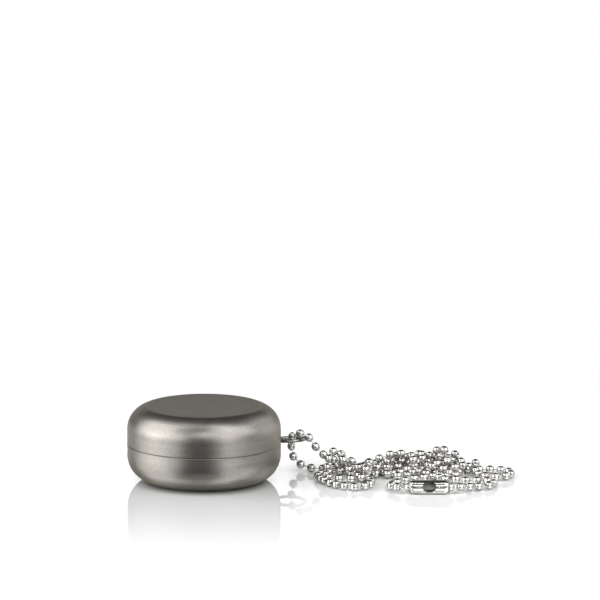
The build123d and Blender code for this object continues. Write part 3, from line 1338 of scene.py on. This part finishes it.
@dataclass(frozen=True)
class TableTop:
    """A large white glossy table top, which keeps the shadow and a fading reflection.

    Attributes:
        size: its side in metres.
        front: its white in front of the object.
        behind: its white behind the object, where the lamps light it less.
        depths: how far back the first changes to the second.
        polished: its white where the polish is full, which adds light of its own.
        contact: its tone in the painted shade at the capsule's foot.
        contact_reach: the radius at which that shade has faded.
        contact_fade: the width over which it fades.
        contact_shift: how far the shade falls forward.
        soft_tone: its tone for light that it scatters.
        metal_tone: its tone as polished metal mirrors it.
        polish: the share of its own white that the polish mirrors instead.
        polish_reach: how far from the object the polish is blended out.
        polish_sides: X on which the polish changes between the chain's and the capsule's.
        chain_polish: the share of the polish under the chain.
        metal_polish: the share that metal sees mirrored, near the object and everywhere.
        metal_blur: how rough the polish is to metal.
        glow: the distances from the object between which the table turns plain white.
        inset: how far inside the object's box the strip is that distances count from.
        fan_tone: the tone of the dark fan.
        fan_start: Y of the fan's start.
        fan_shift: how far the fan's middle is shifted to the left.
        fan_lean: how far it leans to the left for its length.
        fan_width: its half width at the start.
        fan_slope: how much wider it grows for its length.
        fan_edge: the shares of its half width between which a side fades in.
        fan_rise: the length over which the fan starts.
        fan_end: the lengths between which it ends.
    """

    size: float = 6.0
    front: float = 0.86
    behind: float = 0.93
    depths: tuple[float, float] = (10.0 * MM, 50.0 * MM)
    polished: float = 0.54
    contact: float = 0.24
    contact_reach: float = 22.3 * MM
    contact_fade: float = 7.0 * MM
    contact_shift: float = 1.7 * MM
    soft_tone: float = 0.5
    metal_tone: float = 0.72
    polish: float = 0.08
    polish_reach: float = 82.0 * MM
    polish_sides: tuple[float, float] = (29.0 * MM, 22.0 * MM)
    chain_polish: float = 0.38
    metal_polish: tuple[float, float] = (0.2, 0.28)
    metal_blur: float = 0.08
    glow: tuple[float, float] = (30.0 * MM, 160.0 * MM)
    inset: float = 18.0 * MM
    fan_tone: float = 0.04
    fan_start: float = -15.0 * MM
    fan_shift: float = 1.5 * MM
    fan_lean: float = 0.14
    fan_width: float = 8.0 * MM
    fan_slope: float = 0.5
    fan_edge: tuple[float, float] = (1.5, 0.5)
    fan_rise: float = 20.0 * MM
    fan_end: tuple[float, float] = (600.0 * MM, 400.0 * MM)

    def build(self) -> None:
        """Adds the table with its finish."""
        half = self.size / 2.0
        corners = [[-half, -half, 0.0], [half, -half, 0.0], [half, half, 0.0], [-half, half, 0.0]]
        table = make_object("table", np.array(corners), [[0, 1, 2, 3]])
        table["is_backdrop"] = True
        assign(table, self._finish())
        LOG.info("built table")

    def _finish(self) -> bpy.types.Material:
        """The table's finish, apart for eyes, for metal and for scattered light.

        Returns:
            The material.
        """
        material = bpy.data.materials.new("white_table")
        shader = Shader(material)
        x, y, _ = shader.parts(shader.place())
        rays = shader.node("ShaderNodeLightPath")
        seen = rays["Is Camera Ray"].larger(rays["Is Transmission Ray"])
        glossy = rays["Is Glossy Ray"]
        reach = self._reach(x, y)
        close = 1.0 - (reach / self.polish_reach).smaller(1.0)
        sides = x.ramp(*self.polish_sides) * (1.0 - self.chain_polish) + self.chain_polish
        polished = close * sides
        white = shader.mix(y.ramp(*self.depths), grey(self.front), grey(self.behind))
        white = shader.mix(polished, white, grey(self.polished))
        # painted shade: the table's white is darkened round the capsule's foot
        white = shader.mix(self._contact(x, y), white, grey(self.contact))
        dark = self._dark_fan(x, y) * glossy
        colour = shader.mix(glossy, grey(self.soft_tone), grey(self.metal_tone))
        colour = shader.mix(seen, colour, white)
        colour = shader.mix(dark, colour, grey(self.fan_tone))
        matt = shader.node("ShaderNodeBsdfDiffuse", None, {"Color": colour})["BSDF"]
        lit = {"Color": grey(1.0), "Strength": 1.0}
        plain_white = shader.node("ShaderNodeEmission", None, lit)["Emission"]
        polish = {"Color": grey(1.0), "Roughness": glossy * self.metal_blur}
        gloss = shader.node("ShaderNodeBsdfGlossy", None, polish)["BSDF"]
        shown = seen.larger(glossy) * (1.0 - dark)
        ground = shader.blend(reach.ramp(*self.glow) * shown, matt, plain_white)
        near, everywhere = self.metal_polish
        mirrored = polished * self.polish + glossy * (close * near + everywhere)
        shader.surface(shader.blend(mirrored * (1.0 - dark), ground, gloss))
        return material

    def _contact(self, x: Socket, y: Socket) -> Socket:
        """How deep a point lies in the painted soft shade at the capsule's foot.

        Args:
            x: the point's X.
            y: the point's Y.

        Returns:
            1 at the foot, falling to 0 where the shade has faded.
        """
        forward = y + self.contact_shift
        off = (x * x + forward * forward) ** 0.5
        return off.ramp(self.contact_reach, self.contact_reach - self.contact_fade)

    def _dark_fan(self, x: Socket, y: Socket) -> Socket:
        """Where metal sees the table dark: a fan with soft edges in front of the capsule.

        The fan starts at the foot and widens away from it, along the line on which the
        capsule's wall mirrors a bearing of minus 8 degrees.

        Args:
            x: the point's X.
            y: the point's Y.

        Returns:
            1 inside the fan and 0 outside it.
        """
        ahead = self.fan_start - y
        middle = x + self.fan_shift + ahead * self.fan_lean
        across = middle / (ahead * self.fan_slope + self.fan_width)
        length = ahead.ramp(0.0, self.fan_rise) * ahead.ramp(*self.fan_end)
        return across.size().ramp(*self.fan_edge) * length

    def _reach(self, x: Socket, y: Socket) -> Socket:
        """How far a point of the table is from the strip that the object stands on.

        Args:
            x: the point's X.
            y: the point's Y.

        Returns:
            The distance in metres, 0 on the strip.
        """
        low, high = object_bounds()
        middle_x, middle_y = (low.x + high.x) / 2.0, (low.y + high.y) / 2.0
        half_x = (high.x - low.x) / 2.0 - self.inset
        half_y = (high.y - low.y) / 2.0 - self.inset
        beyond_x = ((x - middle_x).size() - half_x).larger(0.0)
        beyond_y = ((y - middle_y).size() - half_y).larger(0.0)
        beyond = (beyond_x * beyond_x + beyond_y * beyond_y) ** 0.5
        return (beyond - self.inset).larger(0.0)


@dataclass
class Studio:
    """The table, the lamps, the surroundings and the camera.

    Attributes:
        elevation: the camera's height above the table in degrees.
        lens: its focal length in millimetres.
        sensor: its sensor's width in millimetres.
        frame_side: the frame's side, in the units of scale and below.
        scale: how large one metre at the object is in the frame.
        middle: X and Z of the object's middle.
        below: how far the object's middle is below the frame's.
        backdrop: the lowest and highest degree of the white backdrop behind the table.
        backdrop_side: how squarely behind the table the backdrop starts and is full.
        backdrop_edge: the softness of its lower and upper edge.
        dim: the level of the surroundings that metal sees.
        polish_glow: how much brighter the table's polish mirrors the surroundings.
        table: the table top.
        boxes: the lamps.
    """

    elevation: float = 12.2
    lens: float = 600.0
    sensor: float = 36.0
    frame_side: float = 600.0
    scale: float = 3497.0
    middle: tuple[float, float] = (27.43 * MM, 10.0 * MM)
    below: float = 145.3
    backdrop: tuple[float, float] = (9.0, 15.5)
    backdrop_side: tuple[float, float] = (0.75, 0.95)
    backdrop_edge: float = 0.03
    dim: float = 0.06
    polish_glow: float = 7.0
    table: TableTop = TableTop()
    boxes: tuple[SoftBox, ...] = (
        SoftBox("lamp_left_main", -88.0, 28.0, 0.76, 0.80, 5.8),
        SoftBox("lamp_left_low", -75.0, 8.0, 0.43, 0.21, 0.65),
        SoftBox("lamp_left_front", -45.0, 18.0, 0.36, 0.46, 1.4),
        SoftBox("lamp_right_front", 28.0, 18.0, 0.23, 0.46, 0.85),
        SoftBox("lamp_right_main", 45.0, 28.0, 0.35, 0.80, 1.55),
        SoftBox("lamp_right_side", 75.0, 36.0, 0.33, 0.55, 1.35),
        SoftBox("lamp_right_edge", 100.0, 10.0, 0.31, 0.24, 0.25),
        SoftBox("lamp_rear_right", 125.0, 24.0, 0.50, 0.67, 1.2),
        SoftBox("lamp_right_high", 36.0, 46.0, 0.32, 0.35, 0.3),
        SoftBox("lamp_front", 0.0, 34.0, 0.29, 0.24, 0.8),
        SoftBox("lamp_top_left", -65.0, 66.0, 0.32, 0.35, 0.6),
        SoftBox("lamp_top_right", 42.0, 66.0, 0.25, 0.35, 0.9),
    )

    def build(self) -> None:
        """Sets up the whole studio."""
        aim = np.array([self.middle[0], 0.0, self.middle[1]])
        for box in self.boxes:
            box.build(aim)
        self._world()
        self.table.build()
        self._camera()
        bpy.context.scene.view_settings.view_transform = "Standard"

    def _camera(self) -> None:
        """A long lens that looks down on the object at the viewing angle.

        The object stands below the middle of the frame, so the camera is tipped up from
        the line to the object by the angle whose tangent is its place on the sensor over
        the focal length.
        """
        data = bpy.data.cameras.new("camera")
        data.lens, data.sensor_width = self.lens, self.sensor
        tip = math.atan(self.below / self.frame_side * self.sensor / self.lens)
        depth = self.frame_side * self.lens / self.sensor / self.scale
        camera = bpy.data.objects.new("camera", data)
        bpy.context.scene.collection.objects.link(camera)
        middle = np.array([self.middle[0], 0.0, self.middle[1]])
        camera.location = middle + direction(0.0, self.elevation) * depth / math.cos(tip)
        camera.rotation_euler = look_from(direction(0.0, self.elevation - math.degrees(tip)))
        data.clip_start, data.clip_end = 0.01, 20.0
        bpy.context.scene.camera = camera

    def _world(self) -> None:
        """Surroundings: a white backdrop, and a dim studio round the object.

        Looked at, the surroundings are white all round, and the table's polish mirrors them
        brighter still. Metal shows the backdrop that stands behind the table too, and above,
        below and beside it the dim studio.
        """
        world = bpy.data.worlds.new("studio")
        bpy.context.scene.world = world
        shader = Shader(world)
        _, y, z = shader.parts(shader.node("ShaderNodeTexCoord")["Generated"])
        rays = shader.node("ShaderNodeLightPath")
        low, high = (math.sin(math.radians(angle)) for angle in self.backdrop)
        edge = self.backdrop_edge
        backdrop = y.ramp(*self.backdrop_side) * z.ramp(low - edge, low) * z.ramp(high + edge, high)
        mirrored = rays["Is Glossy Ray"].larger(rays["Is Transmission Ray"])
        white = (backdrop * mirrored).larger(rays["Is Camera Ray"])
        level = self.dim * (1.0 - white) + white + rays["Is Singular Ray"] * self.polish_glow
        glow = shader.node("ShaderNodeBackground", None, {"Color": grey(1.0), "Strength": level})
        shader.node("ShaderNodeOutputWorld", None, {"Surface": glow["Background"]})


# ---------------------------------------------------------------------------------------
# Assembly
# ---------------------------------------------------------------------------------------


@dataclass
class Fastener:
    """The rolled coupling that closes the chain, and the two end balls caught in it.

    Attributes:
        wall: the thickness of the coupling's sheet.
    """

    wall: float = 0.2 * MM

    def dress(self, frame: Mapping[str, Any], ball_finish: bpy.types.Material) -> None:
        """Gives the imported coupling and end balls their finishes.

        Args:
            frame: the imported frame, with its nodes by name.
            ball_finish: the finish of the end balls.
        """
        low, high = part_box("chain_coupling")
        bore = ((low.y + high.y) / 2.0, (low.z + high.z) / 2.0, (high.z - low.z) / 2.0 - self.wall)
        rolled = BrightNickel(
            name="rolled_nickel",
            colour=(0.82, 0.81, 0.79),
            shade=(0.68, 0.67, 0.65),
            roughness=0.12,
            drawn=True,
            bore=bore,
        )
        assign(frame["nodes"]["chain_coupling"], rolled.material())
        for node in ("end_ball_left", "end_ball_right"):
            assign(frame["nodes"][node], ball_finish)
        LOG.info("dressed chain_coupling and its end balls")


def main() -> None:
    """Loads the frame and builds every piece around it."""
    logging.basicConfig(level=logging.INFO, format="%(name)s: %(message)s")
    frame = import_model()
    chain_finish = BrightNickel().material()
    BallChain().build(chain_finish)
    Fastener().dress(frame, chain_finish)
    capsule = Capsule()
    capsule.dress(frame)
    capsule.build(SatinTitanium(name="satin_titanium_thread").material())
    Studio().build()


if __name__ == "__main__":
    main()
